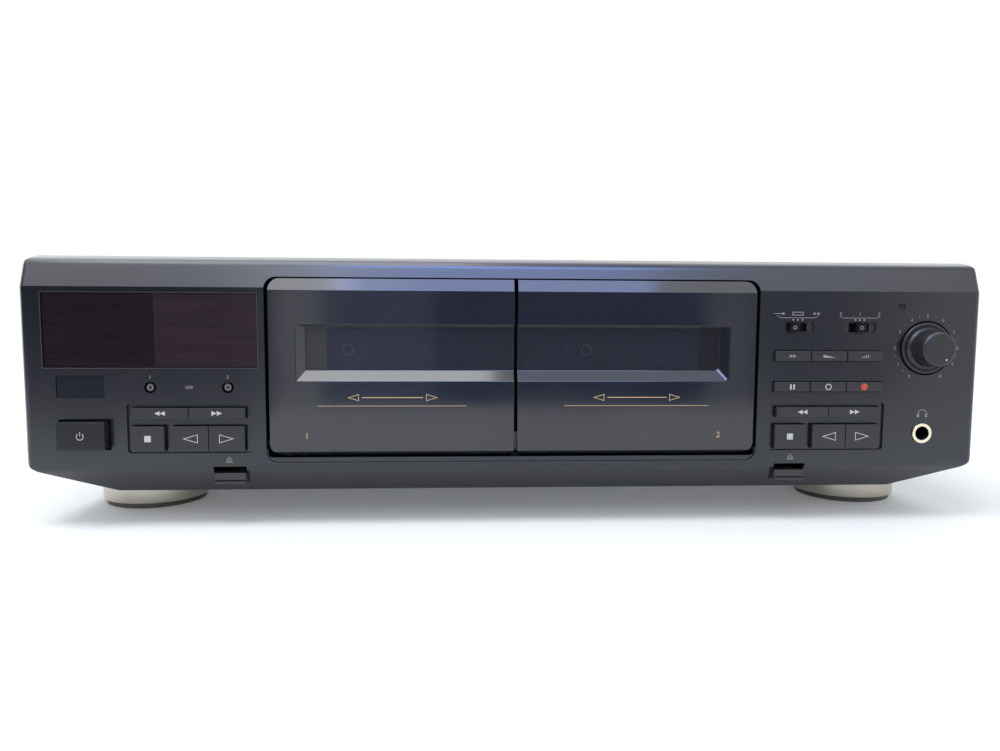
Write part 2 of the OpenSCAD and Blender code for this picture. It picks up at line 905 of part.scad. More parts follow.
module head_carriage() {
    box([-carriage_half, carriage_half], [carriage_y, carriage_y + carriage_t], [carriage_low, carriage_high]);
    box(about(0, head_w), [head_front, carriage_y + eps], [head_low, head_high]);
    for (s = [-1, 1]) {
        rod_y(s * capstan_x, roller_z, roller_pin_d, [roller_y - slack - roller_cap_t, carriage_y + eps]);
        rod_y(s * capstan_x, roller_z, roller_cap_d, [roller_y - slack - roller_cap_t, roller_y - slack]);
        rod_y(s * capstan_x, roller_z, roller_cap_d, [roller_y + roller_w + slack, carriage_y + eps]);
    }
}

module head_carriage_a() {
    color("#8f9194") at_deck(-1) head_carriage();
}

module head_carriage_b() {
    color("#8f9194") at_deck(1) head_carriage();
}

module pinch_roller(side) {
    difference() {
        rod_y(side * capstan_x, roller_z, roller_d, [roller_y, roller_y + roller_w]);
        rod_y(side * capstan_x, roller_z, roller_pin_d + 2 * slack, [roller_y - eps, roller_y + roller_w + eps]);
    }
}

module pinch_roller_a_left() {
    color("#101010") at_deck(-1) pinch_roller(-1);
}

module pinch_roller_a_right() {
    color("#101010") at_deck(-1) pinch_roller(1);
}

module pinch_roller_b_left() {
    color("#101010") at_deck(1) pinch_roller(-1);
}

module pinch_roller_b_right() {
    color("#101010") at_deck(1) pinch_roller(1);
}

// Doors: a smoked cover with a bevelled window pocket, carried by a cassette holder on hinge pins
function low_line(y, t) = pocket_low + y * low_run / pocket_d - t * norm([1, low_run / pocket_d]);
function high_line(y, t) = pocket_high - y * high_run / pocket_d + t * norm([1, high_run / pocket_d]);
function side_line(y, t) = pocket_x - y * side_run / pocket_d + t * norm([1, side_run / pocket_d]);

module pocket(front, t) {
    back = pocket_d + t;
    intersection() {
        slab_x([-eps, door_out]) polygon([[front, low_line(front, t)], [back, low_line(back, t)],
            [back, high_line(back, t)], [front, high_line(front, t)]]);
        slab_z([door_low, door_top]) polygon([[-eps, front], [side_line(front, t), front],
            [side_line(back, t), back], [-eps, back]]);
    }
}

module door_plate() {
    crest = door_top - door_bevel_h;
    run = door_bevel_h * tan(bevel_angle);
    slab_x([0, door_out]) polygon([[0, door_low + door_lip], [0, crest], [run, door_top],
        [run + door_t / cos(bevel_angle), door_top], [door_t, crest - door_t * tan(bevel_angle / 2)],
        [door_t, door_low], [door_lip, door_low]]);
}

module door_cover() {
    difference() {
        intersection() {
            union() {
                door_plate();
                pocket(0, pocket_t);
            }
            slab_y([-eps, pocket_back + eps]) intersection() {
                rounded([-door_w / 2, door_out], [door_low, door_top], door_r);
                translate([door_in, 0]) square([door_w, deck_h]);
            }
        }
        pocket(-eps, 0);
    }
}

module door_a_cover() {
    color("#15171c") placed() mirror([1, 0, 0]) door_cover();
}

module door_b_cover() {
    color("#15171c") placed() door_cover();
}

module door_holder() {
    inner = door_c - holder_half;
    outer = door_c + holder_half;
    box([outer, outer + holder_t], [holder_front, holder_back], [holder_low, holder_top]);
    difference() {
        box([inner - holder_t, inner], [holder_front, holder_back], [holder_low, holder_top]);
        box([inner - holder_t - eps, inner + eps], [holder_front - eps, pocket_back], [apron_high, bar_low]);
    }
    box([inner - holder_t, outer + holder_t], [holder_front, holder_front + frame_t], [holder_low, apron_high]);
    box([inner - holder_t, outer + holder_t], [holder_front, holder_front + frame_t], [bar_low, bar_high]);
    for (x = [[inner - eps, door_c - hook_in], [door_c + hook_in, outer + eps]]) {
        box(x, [holder_front, holder_back], [hook_low, hook_low + hook_t]);
        box(x, [holder_back - holder_t, holder_back], [hook_low, hook_low + 3 * hook_t]);
    }
    rod_x([hinge_end, inner], hinge_y, hinge_z, hinge_d);
    rod_x([outer, opening_half + hinge_reach], hinge_y, hinge_z, hinge_d);
}

module door_a_holder() {
    color("#0f1012") placed() mirror([1, 0, 0]) door_holder();
}

module door_b_holder() {
    color("#0f1012") placed() door_holder();
}

// Keys and buttons
module push_key(x, z, w, h, rest) {
    box(about(x, w - slack), [-key_out, key_back], about(z, h));
    box(about(x, w - slack), [rest + slack, rest + slack + flange_t], about(z, h + 2 * slack + 2 * flange_lip));
}

module wind_key(side, place) {
    push_key(side * cluster_x + place * wind_pitch / 2, wind_z, wind_pitch, wind_h, pad_back);
}

module direction_key(side, place) {
    push_key(side * cluster_x + play_x + place * play_pitch / 2, play_z, play_pitch, play_h, pad_back);
}

module stop_key(side) {
    push_key(side * cluster_x + stop_x, play_z, stop_w, play_h, pad_back);
}

module row_key(place, z) {
    push_key(row_x + place * row_pitch, z, row_pitch, row_h, wall);
}

module rewind_key_a() {
    color("#33363c") placed() wind_key(-1, -1);
}

module forward_key_a() {
    color("#33363c") placed() wind_key(-1, 1);
}

module stop_key_a() {
    color("#33363c") placed() stop_key(-1);
}

module reverse_key_a() {
    color("#33363c") placed() direction_key(-1, -1);
}

module play_key_a() {
    color("#33363c") placed() direction_key(-1, 1);
}

module rewind_key_b() {
    color("#33363c") placed() wind_key(1, -1);
}

module forward_key_b() {
    color("#33363c") placed() wind_key(1, 1);
}

module stop_key_b() {
    color("#33363c") placed() stop_key(1);
}

module reverse_key_b() {
    color("#33363c") placed() direction_key(1, -1);
}

module play_key_b() {
    color("#33363c") placed() direction_key(1, 1);
}

module dubbing_speed_key() {
    color("#33363c") placed() row_key(-1, dub_z);
}

module fader_key() {
    color("#33363c") placed() row_key(0, dub_z);
}

module auto_level_key() {
    color("#33363c") placed() row_key(1, dub_z);
}

module pause_key() {
    color("#33363c") placed() row_key(-1, rec_z);
}

module rec_mute_key() {
    color("#33363c") placed() row_key(0, rec_z);
}

module record_key() {
    color("#33363c") placed() row_key(1, rec_z);
}

module power_button() {
    color("#2c2e33") placed() {
        box(about(power_x, power_w - 2 * slack), [-power_out, power_back], about(power_z, power_h - 2 * slack));
        box(about(power_x, power_w - 2 * slack), [wall + slack, wall + slack + flange_t],
            about(power_z, power_h + 2 * slack + 2 * flange_lip));
    }
}

module counter_reset(x) {
    rod_y(x, reset_z, reset_d, [0, key_back]);
    rod_y(x, reset_z, reset_flange, [wall + slack, wall + slack + flange_t]);
}

module counter_reset_a() {
    color("#24262a") placed() counter_reset(reset_x[0]);
}

module counter_reset_b() {
    color("#24262a") placed() counter_reset(reset_x[1]);
}

module eject_lever(x) {
    lever_low = eject_low + slack;
    box(about(x, eject_w - 2 * slack), [eject_front, eject_back], [lever_low, lever_low + eject_t]);
    box(about(x, eject_w + eject_flange), [eject_back - flange_t, eject_back], [lever_low, eject_high]);
}

module eject_lever_a() {
    color("#33363c") placed() eject_lever(-eject_x);
}

module eject_lever_b() {
    color("#33363c") placed() eject_lever(eject_x);
}

module slider(x) {
    box(about(x, slider_w), [-slider_out, wall + slack + flange_t], about(slider_z, slider_h));
    box(about(x, slider_plate_w), [wall + slack, wall + slack + flange_t], about(slider_z, slider_plate_h));
}

module direction_slider() {
    color("#0c0c0d") placed() slider(slider_x[0] - slider_step);
}

module noise_filter_slider() {
    color("#0c0c0d") placed() slider(slider_x[1]);
}

module rec_level_knob() {
    cap_r = cap_d / 2;
    skirt_r = skirt_d / 2;
    edge = 0.8;
    shaft_r = knob_shaft_d / 2;
    skirt_back = slack - well_depth;
    shaft_back = -well_depth - wall - pot_len + 2;
    color("#2a2b30") placed() translate([knob_x, 0, knob_z]) rotate([90, 0, 0]) rotate_extrude()
        polygon([[0, knob_out], [cap_r - edge, knob_out], [cap_r, knob_out - edge], [cap_r + edge / 2, 2 * edge],
            [skirt_r - 3 * edge, edge / 2], [skirt_r - edge, 1.5 * edge], [skirt_r, edge],
            [skirt_r, skirt_back], [shaft_r, skirt_back], [shaft_r, shaft_back], [0, shaft_back]]);
}

// Draw the chosen node, or all of them
front_panel();
top_cover();
chassis();
rear_panel();
front_feet();
rear_feet();
display_window();
front_lenses();
phones_jack();
rear_fittings();
cover_screws();
circuit_boards();
transformer();
mechanism_plates();
motors();
drive_belts();
power_button();
rewind_key_a();
forward_key_a();
stop_key_a();
reverse_key_a();
play_key_a();
rewind_key_b();
forward_key_b();
stop_key_b();
reverse_key_b();
play_key_b();
dubbing_speed_key();
fader_key();
auto_level_key();
pause_key();
rec_mute_key();
record_key();
counter_reset_a();
counter_reset_b();
eject_lever_a();
eject_lever_b();
direction_slider();
noise_filter_slider();
rec_level_knob();
door_a_cover();
door_a_holder();
door_b_cover();
door_b_holder();
reel_a_left();
reel_a_right();
reel_b_left();
reel_b_right();
capstan_a_left();
capstan_a_right();
capstan_b_left();
capstan_b_right();
head_carriage_a();
head_carriage_b();
motor_pulley_a();
motor_pulley_b();
pinch_roller_a_left();
pinch_roller_a_right();
pinch_roller_b_left();
pinch_roller_b_right();
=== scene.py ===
"""Looks of the double cassette deck: rounded edges, materials, printed marks, studio and camera."""

import json
import math

import bmesh
import bpy
from mathutils import Matrix, Vector

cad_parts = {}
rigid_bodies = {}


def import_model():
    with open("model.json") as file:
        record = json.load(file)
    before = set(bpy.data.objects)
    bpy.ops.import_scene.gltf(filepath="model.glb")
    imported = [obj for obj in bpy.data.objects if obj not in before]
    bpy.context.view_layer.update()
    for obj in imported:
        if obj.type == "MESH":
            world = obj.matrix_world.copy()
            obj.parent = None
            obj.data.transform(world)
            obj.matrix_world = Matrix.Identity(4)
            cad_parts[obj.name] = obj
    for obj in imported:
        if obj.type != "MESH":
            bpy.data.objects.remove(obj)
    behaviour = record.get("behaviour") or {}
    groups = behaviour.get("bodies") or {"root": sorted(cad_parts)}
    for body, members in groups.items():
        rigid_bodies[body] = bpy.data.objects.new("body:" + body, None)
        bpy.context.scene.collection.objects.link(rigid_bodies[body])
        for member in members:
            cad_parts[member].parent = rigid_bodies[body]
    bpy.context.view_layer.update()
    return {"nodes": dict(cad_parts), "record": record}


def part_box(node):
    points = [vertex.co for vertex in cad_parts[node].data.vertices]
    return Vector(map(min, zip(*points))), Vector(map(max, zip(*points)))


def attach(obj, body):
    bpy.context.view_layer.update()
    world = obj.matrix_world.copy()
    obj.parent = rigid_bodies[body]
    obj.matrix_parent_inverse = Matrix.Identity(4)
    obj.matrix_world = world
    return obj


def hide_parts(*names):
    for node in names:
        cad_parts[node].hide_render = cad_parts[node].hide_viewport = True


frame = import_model()
nodes = frame["nodes"]
body_of = {
    node: body
    for body, members in frame["record"]["behaviour"]["bodies"].items()
    for node in members
}

# Sizes on the object are in millimetres. Places from the frame, the studio and the camera are in metres.
MM = 0.001
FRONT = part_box("front_panel")[0].y


def middle(node):
    low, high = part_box(node)
    return (low + high) / 2


def centre_mm(node):
    mid = middle(node)
    return mid.x / MM, mid.z / MM


def box_mm(node):
    """The left, right, lower and upper limit of a node in millimetres."""
    low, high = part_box(node)
    return low.x / MM, high.x / MM, low.z / MM, high.z / MM


# Digits as flat faces of height 1, read from Blender's own font
DIGIT_CURVE_STEPS = 3
DIGIT_GAP = 0.14


def digit_shape(text):
    """The faces of a digit and its width."""
    curve = bpy.data.curves.new("digit", "FONT")
    curve.body = text
    curve.resolution_u = DIGIT_CURVE_STEPS
    holder = bpy.data.objects.new("digit", curve)
    mesh = bpy.data.meshes.new_from_object(holder)
    points = [v.co.copy() for v in mesh.vertices]
    faces = [list(p.vertices) for p in mesh.polygons]
    bpy.data.objects.remove(holder)
    bpy.data.curves.remove(curve)
    bpy.data.meshes.remove(mesh)
    low, high = min(p.y for p in points), max(p.y for p in points)
    left, right = min(p.x for p in points), max(p.x for p in points)
    size = 1 / (high - low)
    shapes = [[((points[i].x - left) * size, (points[i].y - low) * size) for i in face] for face in faces]
    return shapes, (right - left) * size


DIGITS = {c: digit_shape(c) for c in "0123456789"}


# Materials
EVEN = (1.0, 1.0, 1.0)
TURNED = (0.05, 0.05, 1.0)
SCRATCHED = (0.04, 0.04, 1.0)
NOISE_LOW, NOISE_HIGH = 0.3, 0.7
BLOTCH_DETAIL, SMUDGE_DETAIL, GRAIN_DETAIL = 4.0, 5.0, 2.0


def shade(colour, factor):
    return tuple(min(1.0, c * factor) for c in colour) + (1.0,)


def noise(tree, place, scale, detail, stretch):
    mapping = tree.nodes.new("ShaderNodeMapping")
    mapping.inputs["Scale"].default_value = stretch
    texture = tree.nodes.new("ShaderNodeTexNoise")
    texture.inputs["Scale"].default_value = scale
    texture.inputs["Detail"].default_value = detail
    tree.links.new(place.outputs["Object"], mapping.inputs["Vector"])
    tree.links.new(mapping.outputs["Vector"], texture.inputs["Vector"])
    return texture.outputs["Fac"]


def material(
    name,
    colour,
    rough,
    metal=0.0,
    specular=0.5,
    spread=0.1,
    blotch=30.0,
    rough_spread=0.05,
    smudge=22.0,
    grain=0.0,
    grain_scale=2600.0,
    stretch=EVEN,
    sockets=None,
):
    """Principled surface with mottled colour, uneven gloss and a fine grain. grain is in millimetres."""
    mat = bpy.data.materials.new(name)
    mat.use_nodes = True
    tree = mat.node_tree
    shader = tree.nodes["Principled BSDF"]
    shader.inputs["Metallic"].default_value = metal
    shader.inputs["Specular IOR Level"].default_value = specular
    for socket, value in (sockets or {}).items():
        shader.inputs[socket].default_value = value
    place = tree.nodes.new("ShaderNodeTexCoord")
    ramp = tree.nodes.new("ShaderNodeValToRGB")
    ramp.color_ramp.elements[0].position = NOISE_LOW
    ramp.color_ramp.elements[0].color = shade(colour, 1 - spread)
    ramp.color_ramp.elements[1].position = NOISE_HIGH
    ramp.color_ramp.elements[1].color = shade(colour, 1 + spread)
    tree.links.new(noise(tree, place, blotch, BLOTCH_DETAIL, stretch), ramp.inputs["Fac"])
    tree.links.new(ramp.outputs["Color"], shader.inputs["Base Color"])
    gloss = tree.nodes.new("ShaderNodeMapRange")
    gloss.inputs["From Min"].default_value = NOISE_LOW
    gloss.inputs["From Max"].default_value = NOISE_HIGH
    gloss.inputs["To Min"].default_value = max(0.0, rough - rough_spread)
    gloss.inputs["To Max"].default_value = min(1.0, rough + rough_spread)
    tree.links.new(noise(tree, place, smudge, SMUDGE_DETAIL, stretch), gloss.inputs["Value"])
    tree.links.new(gloss.outputs["Result"], shader.inputs["Roughness"])
    if grain:
        bump = tree.nodes.new("ShaderNodeBump")
        bump.inputs["Strength"].default_value = 1.0
        bump.inputs["Distance"].default_value = grain * MM
        tree.links.new(noise(tree, place, grain_scale, GRAIN_DETAIL, stretch), bump.inputs["Height"])
        tree.links.new(bump.outputs["Normal"], shader.inputs["Normal"])
    return mat


# Front
PANEL = material(
    "panel_charcoal",
    (0.0075, 0.0085, 0.0135),
    0.24,
    specular=0.7,
    rough_spread=0.04,
    grain=0.004,
    sockets={"Specular Tint": (0.95, 0.975, 1.0, 1.0)},
)
POWER = material("power_charcoal", (0.010, 0.0105, 0.012), 0.36, specular=0.4, grain=0.002)
KEY = material("key_charcoal", (0.022, 0.0225, 0.025), 0.36, grain=0.002)
# Black for painted shade in the knob well, on slot walls, in the jack bore, in lever grooves and in screw
# slots
SHADE_BLACK = material("black_painted_shade", (0.006, 0.006, 0.007), 0.6, specular=0.2, grain=0.003)
LEVER = material("lever_charcoal", (0.032, 0.033, 0.036), 0.34, grain=0.002)
SLIDER = material("slider_black", (0.005, 0.005, 0.006), 0.4, specular=0.2, grain=0.002)
# A grey that renders a little darker than the panel, for the sunk frames of the slide switches: painted
# shade
SLOT_SHADE_GREY = material("slot_grey_painted_shade", (0.016, 0.0165, 0.019), 0.4, grain=0.003)
KNOB = material("knob_charcoal", (0.02, 0.0205, 0.023), 0.36, grain=0.003)
DOOR = material("door_gloss", (0.0115, 0.013, 0.0195), 0.11, specular=0.74, rough_spread=0.03)
WINDOW = material(
    "door_smoked_window",
    (0.2, 0.21, 0.25),
    0.07,
    spread=0.05,
    rough_spread=0.02,
    sockets={"Transmission Weight": 0.9, "IOR": 1.49},
)
# Sheets behind the clear window floors: the grey one paints light on the holder seen through door a, the
# dark one paints shade behind door b
MASK_PAINTED_SHADE = material("window_mask_dark", (0.014, 0.015, 0.02), 0.35, specular=0.15, spread=0.15)
MASK_PAINTED_LIGHT = material("window_mask_grey", (0.042, 0.044, 0.05), 0.35, specular=0.2, spread=0.15)
SMOKED = {
    "rough": 0.13,
    "specular": 0.45,
    "blotch": 600.0,
    "smudge": 500.0,
    "grain": 0.0015,
    "grain_scale": 900.0,
    "stretch": SCRATCHED,
}
DISPLAY = material("display_smoked_red", (0.012, 0.0078, 0.0105), spread=0.25, **SMOKED)
# A lighter copy of the display's smoked red for its right part: painted light
DISPLAY_PAINTED_LIGHT = material("display_smoked_red_painted_light", (0.025, 0.0165, 0.021), spread=0.2, **SMOKED)
# A lighter grey for the thin line round the display window: a painted highlight on the edges of its frame
FRAME_HIGHLIGHT = material("display_frame_painted_highlight", (0.045, 0.046, 0.05), 0.4, spread=0.08)
LENS = material("lens_dark_blue", (0.0137, 0.0153, 0.0245), 0.12, specular=0.35)
GOLD = material("jack_pale_gold", (0.86, 0.78, 0.58), 0.25, metal=1.0, spread=0.05, smudge=300.0)
CHAMPAGNE = material(
    "foot_champagne_metal",
    (0.53, 0.49, 0.425),
    0.3,
    metal=1.0,
    spread=0.08,
    blotch=1500.0,
    grain=0.002,
    grain_scale=2200.0,
    stretch=TURNED,
)
FOOT_RIM = material("foot_rim_brown", (0.09, 0.08, 0.068), 0.5, grain=0.004)

# Cover and rear
COVER = material("cover_black_paint", (0.018, 0.018, 0.02), 0.5, grain=0.012, grain_scale=1400.0)
FOOT_DARK = material("foot_dark", (0.02, 0.02, 0.02), 0.55, grain=0.006)
SCREW = material("screw_black_zinc", (0.05, 0.05, 0.055), 0.32, metal=0.8, spread=0.2, blotch=300.0)
SOCKET = material("socket_black", (0.014, 0.014, 0.015), 0.4, grain=0.003)
NICKEL = material("socket_nickel", (0.66, 0.65, 0.62), 0.25, metal=1.0, spread=0.06)
SOCKET_WHITE = material("socket_white", (0.62, 0.61, 0.58), 0.4, spread=0.05)
SOCKET_RED = material("socket_red", (0.45, 0.03, 0.025), 0.4, spread=0.06)

# Inside
ZINC = material(
    "zinc_sheet", (0.58, 0.59, 0.6), 0.38, metal=1.0, spread=0.12, blotch=60.0, rough_spread=0.08
)
DARK_STEEL = material("blackened_steel", (0.035, 0.036, 0.04), 0.45, metal=0.4, spread=0.15)
BOARD = material("board_brown", (0.16, 0.09, 0.035), 0.5)
IRON = material("core_iron", (0.2, 0.18, 0.16), 0.45, metal=0.8, spread=0.2, blotch=700.0, stretch=TURNED)
MOTOR = material("motor_can", (0.6, 0.6, 0.61), 0.3, metal=1.0, spread=0.06)
RUBBER = material("belt_rubber", (0.015, 0.015, 0.016), 0.65, grain=0.008)
HOLDER = material("holder_black", (0.014, 0.014, 0.016), 0.42, grain=0.004)
REEL = material("reel_grey", (0.12, 0.124, 0.138), 0.4, grain=0.003)
HUB = material("hub_ring_pale", (0.9, 0.9, 0.92), 0.4, spread=0.05)
WHEEL = material(
    "wheel_steel", (0.62, 0.62, 0.63), 0.22, metal=1.0, spread=0.06, blotch=900.0, stretch=TURNED
)
BRASS = material("pulley_brass", (0.72, 0.55, 0.25), 0.28, metal=1.0, spread=0.08)
HEAD = material("head_steel", (0.55, 0.55, 0.56), 0.3, metal=1.0)

# Inks of the printed marks
INK_BLOTCH = 900.0
INK_WHITE = material("ink_white", (0.5, 0.51, 0.52), 0.6, spread=0.12, blotch=INK_BLOTCH)
INK_GREY = material("ink_grey", (0.26, 0.265, 0.28), 0.6, spread=0.15, blotch=INK_BLOTCH)
INK_GOLD = material("ink_gold", (0.5, 0.36, 0.19), 0.5, spread=0.15, blotch=INK_BLOTCH)
INK_RED = material("ink_red", (0.55, 0.06, 0.04), 0.55, blotch=INK_BLOTCH)


# Rounded copies of the CAD nodes
WELD = 1e-6
SAME_PLANE_DEG = 0.8
PLANE_CREASE_DEG = 8
ROUND_CREASE_DEG = 34
SHADE_CREASE_DEG = 50
BROAD_SPAN = 1.6
CUT_W = 1.4


def broad(face):
    """True for a face that is more than a strip of a rounding, by its area over its perimeter."""
    return face.calc_area() / face.calc_perimeter() > BROAD_SPAN * MM


def crease(edge, strip_limit):
    """True if an edge bends more than the limit for planes between broad faces, or than strip_limit."""
    if len(edge.link_faces) != 2:
        return False
    limit = PLANE_CREASE_DEG if all(broad(face) for face in edge.link_faces) else strip_limit
    return edge.calc_face_angle(0.0) > math.radians(limit)


def new_piece(name, bm, mats):
    """Turns a bmesh into an object of the scene."""
    mesh = bpy.data.meshes.new(name)
    bm.to_mesh(mesh)
    bm.free()
    for mat in mats:
        mesh.materials.append(mat)
    piece = bpy.data.objects.new(name, mesh)
    bpy.context.scene.collection.objects.link(piece)
    return piece


def bevel(bm, edges, width, segments, clamp):
    bmesh.ops.bevel(
        bm,
        geom=edges,
        offset=width * MM,
        offset_type="OFFSET",
        segments=segments,
        profile=0.5,
        affect="EDGES",
        clamp_overlap=clamp,
    )
    bm.normal_update()


def rounded_copy(node, width, mats, choose=None, segments=2, split=None, cut=None):
    """A copy of a node with its edges rounded by width mm; choose gives a face its material.

    split is an x at which the faces are divided, so that both halves can have their own material.
    cut picks edges that are first cut off by CUT_W mm.
    """
    bm = bmesh.new()
    bm.from_mesh(nodes[node].data)
    bmesh.ops.remove_doubles(bm, verts=bm.verts, dist=WELD)
    same_plane = math.radians(SAME_PLANE_DEG)
    bmesh.ops.dissolve_limit(bm, angle_limit=same_plane, verts=bm.verts, edges=bm.edges)
    bm.normal_update()
    if cut:
        bevel(bm, [edge for edge in bm.edges if cut(edge)], CUT_W, 1, False)
    bevel(bm, [edge for edge in bm.edges if crease(edge, ROUND_CREASE_DEG)], width, segments, True)
    if split is not None:
        everything = bm.verts[:] + bm.edges[:] + bm.faces[:]
        bmesh.ops.bisect_plane(bm, geom=everything, plane_co=(split, 0, 0), plane_no=(1, 0, 0))
        bm.normal_update()
    for face in bm.faces:
        face.material_index = mats.index(choose(face)) if choose else 0
        face.smooth = True
    for edge in bm.edges:
        edge.smooth = not crease(edge, SHADE_CREASE_DEG)
    piece = new_piece(node + "_look", bm, mats)
    weighted = piece.modifiers.new("flat faces", "WEIGHTED_NORMAL")
    weighted.keep_sharp = True
    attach(piece, body_of[node])
    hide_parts(node)


# Materials of the faces of one node
FACING = 0.9
SUNK = 0.1
WELL_R = 13.5
SWITCH_FRAME = (11.0, 3.4)
EJECT_SLOT = (9.0, 8.0)
POCKET_FACING = 0.98
POCKET_FLOOR = (3.5, 7.0)
MITRE_RUN = 2.0
MITRE_IN = 19.5
MITRE_UP = (28.0, 43.0)
FOOT_RIM_H = 2.6
JACK_LIP = 1.0
JACK_BORE_R = 3.6
PAINTED_LIGHT_SHIFT = 1.5
SOCKET_REACH = 7.9
SOCKET_ROWS_Z = 72.0

knob_mid = middle("rec_level_knob")
jack_mid = middle("phones_jack")
lever_mids = [middle("eject_lever_a"), middle("eject_lever_b")]
slider_mids = [middle("direction_slider"), middle("noise_filter_slider")]
door_low, door_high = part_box("door_b_cover")
fitting_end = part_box("rear_fittings")[1].y
display_light_split = middle("display_window").x + PAINTED_LIGHT_SHIFT * MM


def depth(face):
    """How far behind the flat front face a face lies, in millimetres."""
    return (face.calc_center_median().y - FRONT) / MM


def within(at, mid, radius):
    return math.hypot(at.x - mid.x, at.z - mid.z) < radius * MM


def beside(at, mids, reach):
    """True if a place is within reach, in x and z, of one of the middles."""
    return any(abs(at.x - m.x) < reach[0] * MM and abs(at.z - m.z) < reach[1] * MM for m in mids)


def panel_faces(face):
    """Painted shade: black in the knob well and on the walls of the eject slots, a grey that renders
    darker than the panel around the slide switches.
    """
    at = face.calc_center_median()
    if depth(face) <= SUNK:
        return PANEL
    if beside(at, slider_mids, SWITCH_FRAME):
        return SLOT_SHADE_GREY
    wall = abs(face.normal.x) > FACING or face.normal.z < -FACING
    slot_wall = wall and beside(at, lever_mids, EJECT_SLOT)
    return SHADE_BLACK if slot_wall or within(at, knob_mid, WELL_R) else PANEL


def door_faces(face):
    """The floor of the window pocket is clear smoke, the rest of the door is painted."""
    on_floor = POCKET_FLOOR[0] < depth(face) < POCKET_FLOOR[1]
    return WINDOW if on_floor and abs(face.normal.y) > POCKET_FACING else DOOR


def mitre_edge(edge):
    """The lower right mitre of the window pocket of door b."""
    a, b = (vert.co for vert in edge.verts)
    right = min(a.x, b.x) > door_high.x - MITRE_IN * MM
    above = min(a.z, b.z) > door_low.z + MITRE_UP[0] * MM
    below = max(a.z, b.z) < door_low.z + MITRE_UP[1] * MM
    slanted = min(abs(a.x - b.x), abs(a.y - b.y)) > MITRE_RUN * MM
    return right and above and below and slanted


def foot_faces(face):
    return FOOT_RIM if face.calc_center_median().z < FOOT_RIM_H * MM else CHAMPAGNE


def jack_faces(face):
    """Painted shade: black inside the bore and behind the rim."""
    in_bore = within(face.calc_center_median(), jack_mid, JACK_BORE_R) and face.normal.y >= -FACING
    return SHADE_BLACK if in_bore or depth(face) > JACK_LIP else GOLD


# Faces right of the split get the lighter copy, which paints light on the right part of the display
def display_faces(face):
    return DISPLAY_PAINTED_LIGHT if face.calc_center_median().x > display_light_split else DISPLAY


def fitting_faces(face):
    """Nickel on the outer part of the line sockets, with white ends in the upper row and red below."""
    at = face.calc_center_median()
    if at.x <= 0 or at.y <= fitting_end - SOCKET_REACH * MM:
        return SOCKET
    if face.normal.y <= FACING:
        return NICKEL
    return SOCKET_WHITE if at.z > SOCKET_ROWS_Z * MM else SOCKET_RED


rounded_copy("front_panel", 0.4, [PANEL, SHADE_BLACK, SLOT_SHADE_GREY], panel_faces)
rounded_copy("top_cover", 0.3, [COVER])
rounded_copy("rear_panel", 0.2, [COVER])
rounded_copy("display_window", 0.2, [DISPLAY, DISPLAY_PAINTED_LIGHT], display_faces, split=display_light_split)
rounded_copy("front_lenses", 0.2, [LENS])
rounded_copy("phones_jack", 0.35, [GOLD, SHADE_BLACK], jack_faces)
rounded_copy("front_feet", 0.5, [CHAMPAGNE, FOOT_RIM], foot_faces)
rounded_copy("rear_feet", 0.5, [FOOT_DARK])
rounded_copy("rear_fittings", 0.2, [SOCKET, NICKEL, SOCKET_WHITE, SOCKET_RED], fitting_faces)
for letter in "ab":
    rounded_copy("door_%s_cover" % letter, 0.8, [DOOR, WINDOW], door_faces, segments=3, cut=mitre_edge)
    rounded_copy("door_%s_holder" % letter, 0.25, [HOLDER])
    rounded_copy("eject_lever_" + letter, 0.9, [LEVER], segments=3)
    rounded_copy("counter_reset_" + letter, 0.25, [KEY])
    for side in ("left", "right"):
        rounded_copy("reel_%s_%s" % (letter, side), 0.2, [REEL])
KEYS = [node for node in nodes if "_key" in node]
for node in KEYS:
    rounded_copy(node, 0.45, [KEY])
rounded_copy("power_button", 0.5, [POWER])
rounded_copy("rec_level_knob", 0.8, [KNOB], segments=3)
SLIDERS = ("direction_slider", "noise_filter_slider")
for node in SLIDERS:
    rounded_copy(node, 0.25, [SLIDER])

# Nodes that are shown as they are
PLAIN = {
    "chassis": ZINC,
    "cover_screws": SCREW,
    "circuit_boards": BOARD,
    "transformer": IRON,
    "mechanism_plates": DARK_STEEL,
    "motors": MOTOR,
    "drive_belts": RUBBER,
}
for letter in "ab":
    PLAIN["head_carriage_" + letter] = HEAD
    PLAIN["motor_pulley_" + letter] = BRASS
    for side in ("left", "right"):
        PLAIN["capstan_%s_%s" % (letter, side)] = WHEEL
        PLAIN["pinch_roller_%s_%s" % (letter, side)] = RUBBER
for node, mat in PLAIN.items():
    nodes[node].data.materials.clear()
    nodes[node].data.materials.append(mat)


# Flat shapes for the printed marks, as lists of points in x and z
CIRCLE_STEPS = 28


def rectangle(x0, x1, z0, z1):
    return [(x0, z0), (x1, z0), (x1, z1), (x0, z1)]


def bar(x0, x1, z0, z1):
    return [rectangle(x0, x1, z0, z1)]


def stroke(a, b, width):
    start, end = Vector(a), Vector(b)
    run = end - start
    side = Vector((-run.y, run.x)).normalized() * width / 2
    return [[tuple(start - side), tuple(end - side), tuple(end + side), tuple(start + side)]]


def turned(x, z, r, angle):
    """The point at a distance r from x and z, at an angle clockwise from straight up."""
    return x + r * math.sin(angle), z + r * math.cos(angle)


def circle_points(x, z, r):
    angles = [2 * math.pi * i / CIRCLE_STEPS for i in range(CIRCLE_STEPS)]
    return [(x + r * math.cos(angle), z + r * math.sin(angle)) for angle in angles]


def disc(x, z, r):
    return [circle_points(x, z, r)]


def loop(outer, inner):
    count = len(outer)
    return [[outer[i], outer[(i + 1) % count], inner[(i + 1) % count], inner[i]] for i in range(count)]


